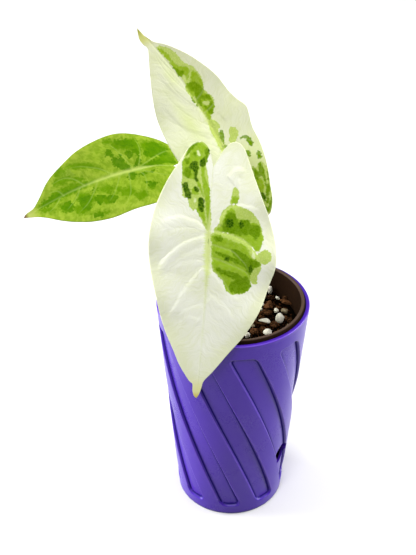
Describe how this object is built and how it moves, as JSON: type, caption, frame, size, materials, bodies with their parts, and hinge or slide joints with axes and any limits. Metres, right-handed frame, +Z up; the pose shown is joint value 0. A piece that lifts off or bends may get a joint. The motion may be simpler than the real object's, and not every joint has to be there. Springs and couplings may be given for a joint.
{
  "type": "potted variegated alocasia acuminata",
  "caption": "Young aroid house plant with pointed cream and green leaves on round stalks, in a nursery pot hung inside a tall tapered pot with twisted sunk panels.",
  "frame": {"origin": "middle of the outer pot's flat underside, on the surface it stands on", "axes": "+Z up along the pots' shared axis, -Y towards the viewer of the front leaf, +X to that viewer's right"},
  "size_m": [0.1606, 0.1042, 0.3047],
  "materials": {
    "outer_pot": "satin purple moulded plastic",
    "nursery_pot": "thin dark brown plastic, slightly glossy",
    "potting_mix": "dark bark chunks with white perlite",
    "stem_base": "pale green living stem",
    "cream_blade": "cream leaf with green patches, soft sheen",
    "green_blade": "mottled light and dark green leaf, soft sheen",
    "petiole": "smooth pale green stalk"
  },
  "bodies": {
    "root": {"outer_pot": "outer_pot", "nursery_pot": "nursery_pot", "potting_mix": "potting_mix", "stem_base": "stem_base", "blade_front": "cream_blade", "petiole_front": "petiole", "blade_back": "cream_blade", "petiole_back": "petiole", "blade_left": "green_blade", "petiole_left": "petiole"}
  },
  "joints": []
}
